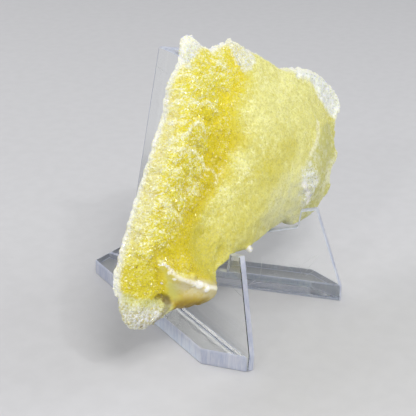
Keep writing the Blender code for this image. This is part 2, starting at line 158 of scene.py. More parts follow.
crust = {
    # Sizes, heights, depths and widths are in mm
    "voxel": 0.48,  # one square of the fine mesh
    "rounding": 320,  # rounds of smoothing that turn the face's folds into swells
    "evening": 3,  # rounds for the rest of it
    "facing": 12, "fineFacing": 4, "blur": 70,  # rounds for what the looks read
    # Each relief: its size, its height, its seed
    "frost": (1.7, 0.45, 15.0),  # the white patches
    "grain": (1.1, 0.14, 3.0),
    "brokenRim": (2.2, 0.65, 9.0),
    "backPits": (1.6, 0.2, 21.0), "backSwells": (6.0, 0.4, 23.0),
    "backDepth": 0.45,  # both lie this far under the plain form
    "wander": (5.0, 1.2), "wanderSeeds": (31.0, 37.0),  # of the mounds' outlines, across and up
    "lumpSizes": (5.2, 2.6),
    "lumpLeft": (0.45, 0.35), "lumpRight": (0.22, 0.22),  # heights, either side of the valley
    "crestHeight": 1.0, "crestWidth": 1.3,  # the lip's edge
    "creaseDepth": 0.9, "creaseWidth": 2.2,  # the hollow behind it
    "moundRise": 0.95,  # share of each mound's height
    "bandDepth": 0.9, "bandWidth": 3.0,  # the band of painted shade in deep colour
    # Rounded mounds on the face: mm across and up, radius, height; a hollow's height is negative
    "mounds": (
        (6.0, 60.0, 3.4, 0.9), (-11.8, 57.6, 3.2, 0.8), (-2.0, 56.7, 3.0, 0.8), (7.0, 54.0, 2.8, 0.6),
        (-17.0, 57.0, 2.8, 0.6), (-20.0, 51.8, 2.6, 0.7), (-14.8, 50.2, 2.9, 1.0), (-7.4, 48.2, 3.3, 1.1),
        (-15.4, 43.2, 4.0, 1.2), (-22.2, 46.6, 2.4, 0.7), (-24.8, 42.6, 3.2, 0.9), (-29.0, 40.2, 2.8, 0.8),
        (-22.6, 36.0, 4.4, 1.1), (-16.6, 32.6, 3.6, 0.9), (-33.5, 37.4, 2.8, 0.8), (-30.0, 33.5, 3.4, 0.9),
        (-23.0, 30.4, 2.8, 0.7), (-37.4, 33.4, 2.8, 0.6), (-33.4, 28.6, 2.8, 0.7), (-38.8, 28.6, 2.4, 0.9),
        (-43.0, 28.2, 2.4, 0.6), (-22.6, 24.6, 3.6, 0.9), (-30.0, 25.0, 3.2, 0.7), (-38.0, 23.2, 3.6, 1.0),
        (-46.0, 24.4, 3.2, 0.7), (-44.5, 19.6, 2.8, 0.6), (-49.6, 17.8, 2.8, 0.8), (-12.2, 27.4, 3.0, 0.8),
        (-2.6, 41.6, 1.6, 0.6), (-20.6, 15.2, 3.0, 0.7), (-9.2, 53.6, 2.0, 0.6), (-38.0, 4.7, 1.9, 1.2),
        (-3.2, 59.6, 2.6, -0.7), (3.0, 50.4, 3.2, -0.7), (-4.6, 43.4, 3.4, -0.6), (-6.8, 38.6, 3.2, -0.6),
        (-9.8, 33.4, 2.8, -0.6), (-26.6, 28.4, 2.2, -0.6), (-27.5, 19.8, 3.2, -0.6), (-6.0, 29.4, 2.6, -0.6),
        (-13.4, 23.6, 2.6, -0.6), (-17.6, 21.6, 2.6, -0.6), (13.4, 55.8, 2.8, -0.3), (0.5, 34.5, 3.4, -0.6),
        (-46.6, 1.2, 2.0, -0.6),
    ),
    # The mounds' upper outlines, raised a little and painted as bright highlights
    "arcs": (
        ((-17.2, 52.2), (-16.3, 52.6), (-14.8, 52.3), (-12.1, 51.0)),
        ((-10.5, 50.3), (-9.4, 50.8), (-8.3, 50.7), (-6.8, 49.7), (-5.8, 48.5), (-2.0, 46.3)),
        ((-14.1, 60.7), (-12.8, 60.1), (-10.9, 59.0)), ((-23.6, 48.5), (-22.0, 47.7), (-20.5, 47.9)),
        ((3.1, 61.2), (4.3, 60.5), (5.7, 59.5), (7.9, 57.8), (9.9, 56.0)),
        ((-20.4, 45.4), (-18.0, 46.3), (-16.4, 46.5), (-15.3, 45.6), (-13.9, 43.7), (-11.4, 42.0)),
        ((-25.4, 44.4), (-24.3, 44.4), (-22.1, 44.6), (-20.6, 45.1)),
        ((-28.9, 41.8), (-27.6, 41.3), (-26.1, 40.9)),
        ((-25.7, 39.6), (-22.3, 39.2), (-18.9, 37.6), (-17.6, 36.1), (-15.1, 33.8), (-12.6, 31.0)),
        ((-11.7, 30.7), (-9.6, 29.4), (-8.8, 27.2), (-9.9, 25.2)),
        ((-40.1, 29.9), (-40.2, 28.5), (-38.1, 27.3)),
        ((-25.5, 28.6), (-23.5, 27.4), (-20.5, 25.8), (-18.3, 23.8)),
        ((-40.8, 26.4), (-38.2, 26.4), (-36.4, 25.2), (-34.9, 23.1), (-33.1, 20.6)),
    ),
    "arcHeight": 0.3, "arcWidth": 0.7,
    "knobs": ((-2.9, 0.3, 7.2, 1.6),),  # balls on the lower edge, painted white as highlights with the beads: mm across, up and out, radius
    # Beads on the lip and at its ends, painted white as highlights: mm across and up, radius, height
    "beads": (
        (-45.6, 12.4, 0.5, 0.35), (-44.5, 11.4, 0.55, 0.4), (-44.3, 9.1, 0.55, 0.4), (-43.8, 7.0, 0.5, 0.35),
        (-46.5, 6.8, 0.4, 0.3), (-38.5, 3.5, 1.1, 0.5), (-37.1, 2.4, 1.3, 0.6), (-35.5, 0.4, 1.0, 1.1),
    ),
    # Soft patches of paler (+) or deeper (-) colour: across, up, radius, share
    # Several pale patches sit on mound crowns as painted highlights, and several deep ones in hollows as
    # painted shade; the rest are the crust's own colour
    "tones": (
        (6.0, 60.0, 3.0, 0.8), (17.5, 57.5, 3.0, 1.0), (-16.5, 55.0, 2.6, 0.6), (-27.5, 42.5, 3.0, 0.6),
        (-34.0, 36.5, 3.2, 0.6), (-38.5, 29.5, 3.2, 0.6), (-47.5, 23.5, 3.6, 0.6), (-54.5, 18.0, 2.6, 0.6),
        (-19.6, 35.7, 2.2, 0.5), (-18.5, 17.0, 3.0, 0.7), (-10.0, 21.8, 4.2, 1.0), (1.2, 29.6, 4.0, 1.1),
        (-16.5, 12.2, 3.4, 0.5), (28.0, 36.0, 7.0, 0.4), (37.5, 46.5, 6.0, 0.5), (15.0, 40.0, 4.0, 0.5),
        (12.0, 9.0, 7.0, 0.5), (26.0, 14.0, 5.0, 1.0), (24.0, 5.0, 5.0, 0.9), (48.5, 8.5, 5.0, 0.8),
        (55.0, 12.0, 4.0, 0.6), (64.8, 30.0, 2.4, 1.4), (-37.0, 0.5, 3.0, 0.6),
        (4.0, 34.0, 4.5, -0.9), (10.0, 22.0, 6.0, -0.8), (21.0, 27.0, 6.0, -0.9), (3.0, 48.5, 3.4, -0.8),
        (14.5, 54.0, 3.0, -0.5), (-23.0, 8.0, 6.0, -0.8), (-22.6, 46.1, 1.6, -0.6), (-15.5, 49.0, 2.4, -0.6),
        (50.0, 20.5, 4.5, -0.7), (-45.0, 8.0, 3.6, -0.7), (-36.6, 6.6, 2.6, -0.9),
    ),
    # Lines and patches on the face, mm across and up
    "valley": ((22.0, 70.0), (14.1, 54.5), (11.7, 50.3), (4.8, 45.2), (1.0, 40.6), (0.0, 35.4),
               (-6.0, 29.0), (-12.9, 23.6), (-19.3, 21.0), (-26.5, 17.4), (-32.5, 12.9), (-34.7, 7.1),
               (-33.0, 2.3)),
    # The deep band is painted shade beside the valley
    "shadeBand": ((-8.1, 46.8), (-4.4, 42.5), (-6.0, 37.5), (-9.0, 32.5), (-12.5, 24.6), (-17.0, 21.6),
                 (-26.0, 19.6), (-31.0, 14.0), (-40.0, 13.6)),
    # A painted highlight runs white along the ridge line
    "ridge": ((41.4, 30.1), (39.6, 26.7), (36.5, 24.0), (32.4, 21.0)),
    "fold": ((28.2, 25.0), (24.7, 19.9), (20.0, 16.1), (18.0, 13.3), (16.4, 9.0)),
    # Another painted highlight runs white along this line, at the margin's edge
    "glaze": ((27.2, 12.4), (29.7, 9.5), (31.7, 6.7), (31.9, 4.4)),
    # The lip's crest, along which its white is a painted highlight
    "crest": ((-45.4, 12.5), (-44.0, 10.7), (-43.5, 8.6), (-42.5, 6.7), (-39.8, 4.6), (-37.0, 2.5),
              (-35.4, 1.6), (-34.0, 0.2), (-31.4, -1.2)),
    "margin": ((50.2, 27.6), (42.8, 28.2), (40.6, 26.0), (38.1, 24.1), (32.2, 20.1), (29.6, 19.0),
               (27.9, 16.4), (27.0, 12.4), (29.8, 5.9), (31.0, -8.0), (80.0, -8.0), (80.0, 24.0),
               (60.0, 26.0)),
    "granular": ((27.0, 17.5), (31.5, 17.6), (34.6, 11.7), (33.9, 4.9), (28.8, 4.9), (26.1, 12.4)),
    "cap": ((42.0, 52.0), (43.7, 48.9), (41.0, 46.3), (48.4, 43.9), (50.6, 40.1), (51.6, 36.7),
            (55.5, 31.5), (60.5, 27.5), (76.0, 20.0), (76.0, 45.0), (58.0, 60.0), (44.0, 60.0)),
    "topPatch": ((13.8, 64.0), (13.9, 58.9), (15.4, 55.2), (20.3, 55.1), (25.0, 56.9), (24.0, 64.0),
                 (16.0, 69.0)),
    "horn": ((-26.0, 66.0), (-9.0, 62.5), (-4.0, 65.0), (3.0, 66.5), (4.0, 80.0), (-20.0, 80.0)),
    "lobe": ((-70.0, 14.5), (-60.5, 10.0), (-58.0, 8.0), (-56.8, 6.4), (-51.5, 3.7), (-47.5, 2.6),
             (-45.0, -0.6), (-44.0, -12.0), (-70.0, -12.0)),
    "lip": ((-46.0, 11.5), (-44.6, 10.2), (-43.8, 8.3), (-42.5, 7.2), (-40.5, 6.6), (-37.5, 5.6),
            (-34.8, 3.4), (-31.0, 1.6), (-26.5, 0.5), (-26.0, -10.0), (-44.5, -10.0), (-45.5, 0.0)),
    # Painted shadow in orange under the lip
    "shade": ((-45.0, 0.8), (-41.0, -0.8), (-37.0, -2.4), (-34.5, -3.0), (-33.0, -12.0), (-46.0, -12.0)),
    "stain": ((-48.3, 3.0), (-47.1, 2.6), (-46.2, 2.1), (-45.6, 1.4), (-45.5, 0.4)),
    # Painted shade in grey along the lobe's right edge
    "dusk": ((-45.6, 1.2), (-45.6, -0.4), (-46.4, -1.3), (-47.9, -2.1), (-49.2, -3.0), (-50.8, -4.4)),
    "stainDepth": 0.6, "stainWidth": 0.8,
    "specks": ((-55.4, -3.5, 0.5), (-53.6, 14.6, 0.35), (-46.2, 1.0, 0.5)),
}


def toLine(across, up, line):  # distance in mm to a line of points
    nearest = np.full(len(across), 1e9)
    for (x0, y0), (x1, y1) in zip(line[:-1], line[1:]):
        dx, dy = x1 - x0, y1 - y0
        share = np.clip(((across - x0) * dx + (up - y0) * dy) / (dx * dx + dy * dy), 0.0, 1.0)
        nearest = np.minimum(nearest, np.hypot(across - x0 - share * dx, up - y0 - share * dy))
    return nearest


def intoPatch(across, up, patch):  # distance in mm to a patch's edge, positive inside it
    inside = np.zeros(len(across), bool)
    for (x0, y0), (x1, y1) in zip(patch, patch[1:] + patch[:1]):
        if y0 != y1:
            crossing = (y0 > up) != (y1 > up)
            inside ^= crossing & (across < x0 + (up - y0) * (x1 - x0) / (y1 - y0))
    return toLine(across, up, patch + patch[:1]) * np.where(inside, 1.0, -1.0)


def softStep(low, high, value):
    share = np.clip((value - low) / (high - low), 0.0, 1.0)
    return share * share * (3.0 - 2.0 * share)


def along(distance, width):  # 1 on a line, falling away over width
    return np.exp(-(distance / width) ** 2)


def bowl(across, up, x, y, radius):  # 1 at a place, falling as half a ball does to 0 at radius
    away = np.hypot(across - x, up - y) / radius
    return np.sqrt(np.clip(1.0 - away ** 2, 0.0, 1.0))


def domes(points, size, seed):  # rounded lumps: 1 on their crowns, 0 in the creases
    made = np.empty(len(points))
    for i, point in enumerate(points / size):
        nearest = noise.voronoi(Vector(point) + Vector((seed, -seed, seed)))[0]
        made[i] = math.sqrt(1.0 - 0.96 * (2.0 * nearest[0] / (nearest[0] + nearest[1])) ** 2)
    return made


def roughness(points, size, height, seed, octaves=3):
    shift = Vector((seed, seed, -seed))
    return height * np.array([
        noise.fractal(Vector(point) + shift, 0.9, 2.0, octaves) for point in points / size])


def crustPoints(places):  # metres in the frame to mm across, up and out
    return (places / mm - restOrigin) @ crustAxes.T


def relaxed(places, edges, rounds):  # each point drawn half way to the middle of its neighbours
    ends = np.concatenate([edges[:, 0], edges[:, 1]])
    others = np.concatenate([edges[:, 1], edges[:, 0]])
    count = np.bincount(ends, minlength=len(places))
    for _ in range(rounds):
        middles = np.column_stack([
            np.bincount(ends, places[others, axis], len(places)) / count for axis in range(3)])
        places = (places + middles) / 2.0
    return places


def readMesh(mesh):
    places = np.empty(len(mesh.vertices) * 3, np.float32)
    mesh.vertices.foreach_get("co", places)
    normals = np.empty(len(mesh.vertices) * 3, np.float32)
    mesh.vertex_normals.foreach_get("vector", normals)
    return places.reshape(-1, 3).astype(float), normals.reshape(-1, 3).astype(float)


def writePlaces(mesh, places):
    mesh.vertices.foreach_set("co", places.astype(np.float32).ravel())
    mesh.update()


def writeValues(mesh, values):
    for name, value in values.items():
        mesh.attributes.new(name, "FLOAT", "POINT").data.foreach_set("value", value.astype(np.float32))


def fineMesh(node, voxel):
    made = link(bpy.data.objects.new("brucite_druse_base", node.data.copy()))
    whole = bmesh.new()
    whole.from_mesh(made.data)
    for *place, radius in crust["knobs"]:
        middle = Vector((restOrigin + np.array(place) @ crustAxes) * mm)
        bmesh.ops.create_icosphere(whole, subdivisions=1, radius=radius * mm,
                                   matrix=Matrix.Translation(middle))
    whole.to_mesh(made.data)
    whole.free()
    made.modifiers.new("join", "WELD").merge_threshold = 1e-5
    rounded = made.modifiers.new("round", "SUBSURF")
    rounded.levels = rounded.render_levels = 2
    even = made.modifiers.new("even", "REMESH")
    even.mode = "VOXEL"
    even.voxel_size = voxel * mm
    fine = bpy.data.meshes.new_from_object(made.evaluated_get(bpy.context.evaluated_depsgraph_get()))
    made.modifiers.clear()
    made.data = fine
    fine.materials.clear()
    fine.polygons.foreach_set("use_smooth", np.ones(len(fine.polygons), bool))
    return made


def faceValues(across, up):
    values = {"valleyLine": toLine(across, up, crust["valley"]),
              "ridgeLine": toLine(across, up, crust["ridge"])}
    for line in ("fold", "glaze", "crest", "stain", "dusk"):
        values[line + "Line"] = toLine(across, up, crust[line])
    for patch in ("margin", "granular", "cap", "topPatch", "horn", "lobe", "lip", "shade"):
        values[patch + "Edge"] = intoPatch(across, up, crust[patch])
    tone = np.zeros(len(across))
    for x, y, radius, share in crust["tones"]:
        tone += share * np.exp(-((across - x) ** 2 + (up - y) ** 2) / radius ** 2)
    band = along(toLine(across, up, crust["shadeBand"]), crust["bandWidth"])
    values["tone"] = tone - crust["bandDepth"] * band
    values["arcLine"] = np.min([toLine(across, up, arc) for arc in crust["arcs"]], axis=0)
    knobs = tuple((x, y, radius) for x, y, _, radius in crust["knobs"])
    for name, spots in (("bead", crust["beads"] + knobs), ("speck", crust["specks"])):
        values[name] = np.zeros(len(across))
        for spot in spots:
            dome = 1.0 - (np.hypot(across - spot[0], up - spot[1]) / spot[2]) ** 2
            values[name] = np.maximum(values[name], dome)
    return values


def fromValley(points):  # mm across from the valley's line, positive to its right
    line = np.array(crust["valley"])[::-1]
    return points[:, 0] - np.interp(points[:, 1], line[:, 1], line[:, 0])


# The face's folds become swells left of the valley, away from the thin rim and the lip
def soften(mesh, edges):
    places = readMesh(mesh)[0]
    points = crustPoints(places)
    within = softStep(4.5, 6.5, points[:, 2]) * softStep(3.0, 6.0, points[:, 1])
    within *= softStep(6.0, 9.0, toLine(points[:, 0], points[:, 1], crust["crest"]))
    within *= softStep(12.0, 4.0, fromValley(points))
    rounder = relaxed(places, edges, crust["rounding"])
    places = relaxed(places, edges, crust["evening"])
    writePlaces(mesh, places + (rounder - places) * within[:, None])


def mounds(points):
    across, up = points[:, 0], points[:, 1]
    wander = [roughness(points, *crust["wander"], seed) for seed in crust["wanderSeeds"]]
    raised, sunk = np.zeros(len(points)), np.zeros(len(points))
    for x, y, radius, rise in crust["mounds"]:
        dome = abs(rise) * crust["moundRise"] * bowl(across + wander[0], up + wander[1], x, y, radius)
        raised = np.maximum(raised, dome * (rise > 0.0))
        sunk = np.maximum(sunk, dome * (rise < 0.0))
    return raised - sunk


def relief(points, values, outward):  # mm that each point grows by
    across, up, height = points.T
    left = 1.0 - softStep(-2.0, 5.0, values["valleySide"])
    left *= 1.0 - softStep(-1.0, 2.0, values["lipEdge"])
    plain = softStep(-1.5, 1.5, values["lipEdge"])  # the lip is smooth
    front = softStep(1.0, 3.0, height) * softStep(-0.5, 0.2, outward)
    clear = 1.0 - (1.0 - softStep(1.5, 3.5, up)) * softStep(-27.0, -25.0, across)  # room for the ledges
    grow = np.zeros(len(points))
    for size, leftHeight, rightHeight in zip(crust["lumpSizes"], crust["lumpLeft"], crust["lumpRight"]):
        grow += (domes(points, size, size) - 0.6) * (rightHeight + (leftHeight - rightHeight) * left)
    grow += mounds(points) + crust["arcHeight"] * along(values["arcLine"], crust["arcWidth"])
    grow *= front * clear * (1.0 - 0.9 * plain)
    crest = values["crestLine"]
    grow += crust["crestHeight"] * along(crest, crust["crestWidth"]) * clear
    for x, y, radius, rise in crust["beads"]:
        grow += rise * bowl(across, up, x, y, radius) * softStep(0.0, 0.3, outward)
    grow -= crust["stainDepth"] * along(values["stainLine"], crust["stainWidth"]) * front
    crease = along(crest - crust["creaseWidth"], crust["creaseWidth"])
    grow -= crust["creaseDepth"] * crease * softStep(-0.2, -1.4, values["lipEdge"]) * front
    grow += roughness(points, *crust["grain"]) * front * clear * (1.0 - 0.7 * plain)
    broken = (1.0 - softStep(0.2, 0.6, outward)) * softStep(1.5, 2.5, height)
    grow += roughness(points, *crust["brokenRim"], 4) * broken * clear
    frosty = [softStep(-0.5, 1.0, values[patch + "Edge"]) for patch in ("cap", "granular", "topPatch")]
    frosty.append(softStep(0.0, 3.0, values["marginEdge"]) * 0.6)
    grow += roughness(points, *crust["frost"]) * np.max(frosty, axis=0) * front
    back = (1.0 - front) * softStep(0.2, -0.3, outward)
    pits = roughness(points, *crust["backPits"]) + roughness(points, *crust["backSwells"])
    return grow + (pits - crust["backDepth"]) * back


def buildCrust():
    made = fineMesh(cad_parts["brucite_crystal"], crust["voxel"])
    mesh = made.data
    edges = np.empty(len(mesh.edges) * 2, np.int32)
    mesh.edges.foreach_get("vertices", edges)
    edges = edges.reshape(-1, 2)
    soften(mesh, edges)
    places, normals = readMesh(mesh)
    points = crustPoints(places)
    facing = relaxed(normals, edges, crust["facing"])
    outward, smoothUp = facing @ crustAxes[2], facing @ crustAxes[1]
    values = faceValues(points[:, 0], points[:, 1])
    values["valleySide"] = fromValley(points)
    writePlaces(mesh, places + normals * (relief(points, values, outward) * mm)[:, None])

    places, normals = readMesh(mesh)
    blurred = relaxed(places, edges, crust["blur"])
    values["crown"] = ((places - blurred) * normals).sum(1) / mm
    values["facingUp"] = relaxed(normals, edges, crust["fineFacing"]) @ crustAxes[1] - smoothUp
    values["outward"] = outward
    values["height"] = points[:, 2]
    values["up"] = points[:, 1]
    writeValues(mesh, values)
    print("crust:", len(mesh.polygons), "squares")
    return made, values


crystals = {
    "spacing": (0.68, 0.56),  # mm, left and right of the valley
    "tries": 6,  # random places for each that there is room for
    "radius": (0.37, 0.26),  # mm
    "spread": 0.3, "radiusLimits": (0.5, 1.9),  # of the radii
    "flat": (0.45, 0.95),  # height over width
    "top": (0.55, 1.0),  # the cut top over the foot
    "tilt": (75.0, 50.0),  # degrees, the most that one leans from the face
    "sink": (0.25, 0.4),  # of its radius
    "thinning": 0.7,  # share left out on the horn, the lobe, the cap and the right margin
    "seed": 11,
}


# Places over the crust where wanted is true, one to a cube of the spacing, thinned by share
def scatter(mesh, wanted, share, kind, draw):
    places, normals = readMesh(mesh)
    corners = np.empty(len(mesh.polygons) * 4, np.int32)
    mesh.loops.foreach_get("vertex_index", corners)
    corners = corners.reshape(-1, 4)
    corners = corners[wanted[corners].all(1)]
    spacing = crystals["spacing"][kind] * mm
    sides = places[corners]
    area = np.linalg.norm(np.cross(sides[:, 2] - sides[:, 0], sides[:, 3] - sides[:, 1]), axis=1) / 2.0
    tries = int(area.sum() / spacing ** 2 * crystals["tries"])
    chosen = corners[draw.choice(len(corners), tries, p=area / area.sum())]
    u, v = draw.random((2, tries, 1))
    weights = np.stack([(1 - u) * (1 - v), u * (1 - v), u * v, (1 - u) * v], 1)
    spots = (places[chosen] * weights).sum(1)
    ways = (normals[chosen] * weights).sum(1)
    ways /= np.linalg.norm(ways, axis=1)[:, None]
    kept = np.unique(np.floor(spots / spacing).astype(int), axis=0, return_index=True)[1]
    kept = kept[draw.random(len(kept)) < share[chosen[kept, 0]]]
    return spots[kept], ways[kept], chosen[kept, 0]


def squareTo(ways, draw):  # a random way square to each
    aside = np.cross(ways, draw.normal(size=ways.shape))
    return aside / np.linalg.norm(aside, axis=1)[:, None]


# The six corners of each crystal, a small three-sided plate with a cut top that leans at random
def crystalCorners(spots, ways, kind, draw):
    count = len(spots)
    swing = np.radians(crystals["tilt"][kind]) * draw.random(count) ** 0.6
    axis = ways * np.cos(swing)[:, None] + squareTo(ways, draw) * np.sin(swing)[:, None]
    first = squareTo(axis, draw)
    second = np.cross(axis, first)
    size = np.exp(crystals["spread"] * draw.normal(size=count)).clip(*crystals["radiusLimits"])
    radius = crystals["radius"][kind] * mm * size
    half = radius * draw.uniform(*crystals["flat"], count) / 2.0
    top = draw.uniform(*crystals["top"], count)
    turns = np.radians((0.0, 120.0, 240.0, 60.0, 180.0, 300.0))
    ring = np.stack([radius * top] * 3 + [radius] * 3, 1)
    level = np.stack([half] * 3 + [-half] * 3, 1)
    middle = spots - ways * (radius * crystals["sink"][kind])[:, None]
    return (middle[:, None] + first[:, None] * (ring * np.cos(turns))[..., None]
            + second[:, None] * (ring * np.sin(turns))[..., None] + axis[:, None] * level[..., None])


def buildCrystals(name, base, values, wanted, share, kind):
    draw = np.random.default_rng(crystals["seed"] + kind)
    spots, ways, chosen = scatter(base.data, wanted, share, kind, draw)
    corners = crystalCorners(spots, ways, kind, draw)
    count = len(spots)
    faces = np.array(((0, 1, 2), (3, 5, 4), (0, 3, 1), (1, 3, 4), (1, 4, 2), (2, 4, 5), (2, 5, 0), (0, 5, 3)))
    allFaces = (faces[None] + np.arange(count)[:, None, None] * 6).reshape(-1, 3)
    made = bpy.data.meshes.new(name)
    made.from_pydata(corners.reshape(-1, 3), [], allFaces)
    made.validate()
    carried = {key: np.repeat(value[chosen], 6) for key, value in values.items()}
    carried["own"] = np.repeat(draw.random(count), 6)
    writeValues(made, carried)
    piece = link(bpy.data.objects.new(name, made))
    print(name + ":", count, "crystals,", len(allFaces), "triangles")
    return piece


brucite = {
    "ior": 1.57, "roughness": 0.22, "crystalRoughness": 0.08,  # at their smoothest
    "glow": 0.6, "glowRadii": (1.0, 0.95, 0.25), "glowDepth": 2.0,  # mm, the light that soaks into the crust
    "scaleSize": 2.3, "grainSize": 1.05, "sugarSize": 0.55,  # mm
    "sugarDepth": 0.18,  # mm
}

druse = {  # its colours, some of them painted light and shade as marked
    "deep": display(0.87, 0.80, 0.01), "lemon": display(0.93, 0.87, 0.16), "body": display(0.90, 0.865, 0.20),
    # Dull is also the colour of painted shade towards the bottom
    "satin": display(0.875, 0.86, 0.52), "dull": display(0.83, 0.79, 0.28),
    # Crown is partly painted highlight on crowns and up-facing sides; the near white beside it is painted
    # glints and highlights
    "crown": display(0.95, 0.94, 0.62), "paintedGlint": display(0.99, 0.99, 0.86),
    # Painted shade on the sides of the smallest grains
    "grainSideShade": display(0.76, 0.68, 0.18), "grainSideShadeRight": display(0.72, 0.70, 0.42),
    "cap": display(0.97, 0.975, 0.96), "ice": display(0.86, 0.88, 0.85), "fleck": display(0.62, 0.64, 0.58),
    "margin": display(0.78, 0.77, 0.44), "marginTop": display(0.88, 0.88, 0.74),
    "lobe": display(0.77, 0.77, 0.68), "lobeTop": display(0.81, 0.81, 0.46),
    # The lip's deeper colour is painted shade below its crest; the crest's white is painted highlight
    "lip": display(0.79, 0.70, 0.26), "lipTop": display(0.84, 0.80, 0.62), "crest": display(0.97, 0.96, 0.92),
    # Orange is painted shadow under the lip
    "orange": display(0.61, 0.50, 0.0), "stain": display(0.44, 0.35, 0.10),
    # Dusk is painted shade along the lobe's edge, and flecks in the rock
    "rim": display(0.94, 0.94, 0.88), "matrix": display(0.82, 0.80, 0.70), "dusk": display(0.50, 0.47, 0.36),
}


# The crust's look. Its loose crystals share it, but each of them takes a shade of its own.
class DruseLook(Look):
    def __init__(self, name, loose):
        super().__init__(name, Subsurface_Weight=0.0 if loose else brucite["glow"], IOR=brucite["ior"],
                         Subsurface_Radius=brucite["glowRadii"], Subsurface_Scale=brucite["glowDepth"] * mm)
        where = self.where = self.place()
        upslope = self.node("ShaderNodeMapping", None, {"Vector": where, "Scale": (1.0, 1.0, 0.16)})
        self.wide = self.noise(9.0, 3.0, 0.55, place=where)
        self.streak = self.noise(0.7, 3.0, 0.6, place=upslope)
        self.patchy = self.noise(3.0, 4.0, 0.6, place=where)
        self.granule = self.noise(1.7, 2.0, place=where)
        self.fine = self.noise(0.7, 3.0, 0.65, place=where)
        self.fleck = self.noise(1.4, 3.0, 0.65, place=where).rise(0.60, 0.67)
        self.scaleTop, self.scaleLowerShade = self.scales(brucite["scaleSize"])
        self.grainTop, self.grainLowerShade = self.scales(brucite["grainSize"])
        self.spotty = self.fine.rise(0.40, 0.60)
        self.cloudy = self.patchy.rise(0.4, 0.62)
        self.ragged = (self.patchy - 0.5) * 5.0 + (self.fine - 0.5) * 2.0  # mm, to break the edges of patches
        self.tone = self.attribute("tone") + (self.patchy - 0.5) * 1.3
        self.dark = self.tone.rise(-0.2, -1.0)
        self.up = self.attribute("up")
        # Low is near the bottom, where painted shade darkens the colour
        self.low = self.up.rise(30.0, 6.0)
        self.side = self.attribute("valleySide") + self.ragged * 0.8
        self.onLeft = self.side.rise(12.0, -3.0)
        self.grainy = self.onLeft.most(self.side.rise(36.0, 14.0) * self.up.rise(34.0, 22.0) * 0.7)
        self.deep = self.line("valley", 0.8, 9.0, 1.0) * (0.3 + 0.7 * self.side.rise(7.0, 0.0))
        self.lip = self.patch("lip", 0.5, 1.5, 0.6)
        self.bead = self.attribute("bead").rise(0.0, 0.5)
        self.outward = self.attribute("outward") + self.ragged * 0.03

    def patch(self, name, share, soft, edge=0.0):  # 0 to 1 into a patch, its edge broken by share of ragged
        return (self.attribute(name + "Edge") + self.ragged * share).rise(edge - soft, edge + soft)

    def line(self, name, share, far, near):  # 1 along a line on the face, 0 beyond far mm
        return (self.attribute(name + "Line") + self.ragged * share).rise(far, near)

    def scales(self, size):  # painted highlights along the upper edges of rounded cells, and painted shade over their lower halves
        middle = self.cells(size, output="Position", place=self.where)
        away = self.node("ShaderNodeVectorMath", {"operation": "SUBTRACT"}, {0: self.where, 1: middle})
        above = self.node("ShaderNodeVectorMath", {"operation": "DOT_PRODUCT"}, {
            0: away, 1: crustAxes[1] / (size * mm)}, "Value")
        toEdge = self.cells(size, "DISTANCE_TO_EDGE", place=self.where)
        return above.rise(0.0, 0.25) * toEdge.rise(0.28, 0.06), above.rise(0.1, -0.4)

    # Painted shade and highlight follow the relief as light from above would
    # Yellow, deep in the valley; painted shade under each scale, in creases and towards the bottom; painted
    # highlights along the scales' upper edges and on crowns
    def face(self):
        wide, streak, patchy, granule, fine = self.wide, self.streak, self.patchy, self.granule, self.fine
        tone, dark, deep, up, low, grainy = self.tone, self.dark, self.deep, self.up, self.low, self.grainy
        onLeft, onRight = self.onLeft, 1.0 - self.onLeft
        crown, facingUp = self.attribute("crown"), self.attribute("facingUp")
        cream = self.side.rise(28.0, 54.0) * low  # the lower right corner
        edges = (self.scaleTop * 0.5 + self.grainTop * 0.5) * (0.3 + 0.7 * grainy)
        edges *= (1.0 - deep * 0.4) * (1.0 - low * 0.5) * (1.0 - dark * 0.7)
        curl = abs(self.noise(2.8, 1.0, distortion=1.6, place=self.where) - 0.5).rise(0.035, 0.0)
        curl *= grainy * (1.0 - dark) * self.cloudy * (1.0 - low * 0.5)
        # Painted highlight along the mounds' upper outlines, and painted shade below them
        arc = self.line("arc", 0.2, 0.9, 0.2)
        arcLowerShade = self.line("arc", 0.2, 3.0, 1.0) * facingUp.rise(0.1, -0.2)

        # Painted shade in creases, on down-facing sides, below the arcs and scales and towards the bottom,
        # with the crust's own deeper patches
        shade = deep * 0.7 + crown.rise(0.1, -0.45) * 0.7 + facingUp.rise(0.0, -0.4) * 0.4 + arcLowerShade * 0.6
        shade += (wide - 0.5) * 0.4 + (0.5 - fine) * 0.6 + low * 0.3 - tone * 0.6
        shade += (self.scaleLowerShade * 0.5 + self.grainLowerShade * 0.3) * grainy
        shade += (0.5 - granule) * (0.4 + 0.4 * grainy) + (0.5 - streak) * onRight * 1.2 - cream * 0.7
        # Painted highlight on crowns and up-facing sides, with the crust's own paler patches
        pale = crown.rise(0.05, 0.7) * 0.4 + facingUp.rise(0.05, 0.45) * 0.4 + tone * 0.4 + cream * 0.5
        pale += onRight * (up.rise(30.0, 56.0) * 0.35 + (wide - 0.5) * 1.6 + (patchy - 0.5) * 1.8)
        pale += onRight * (streak - 0.5) * 2.6 + (granule - 0.5) * (0.4 + 0.4 * grainy)
        pale += edges - low * 0.2 - onLeft * 0.2
        # Painted highlights in near white along scale edges, arcs and curled lines
        paintedHighlights = edges * pale.rise(0.2, 0.8) * 0.85 + curl * 0.7 + arc * (0.12 + 0.5 * self.spotty)
        self.paintedHighlights = paintedHighlights.least(0.9)

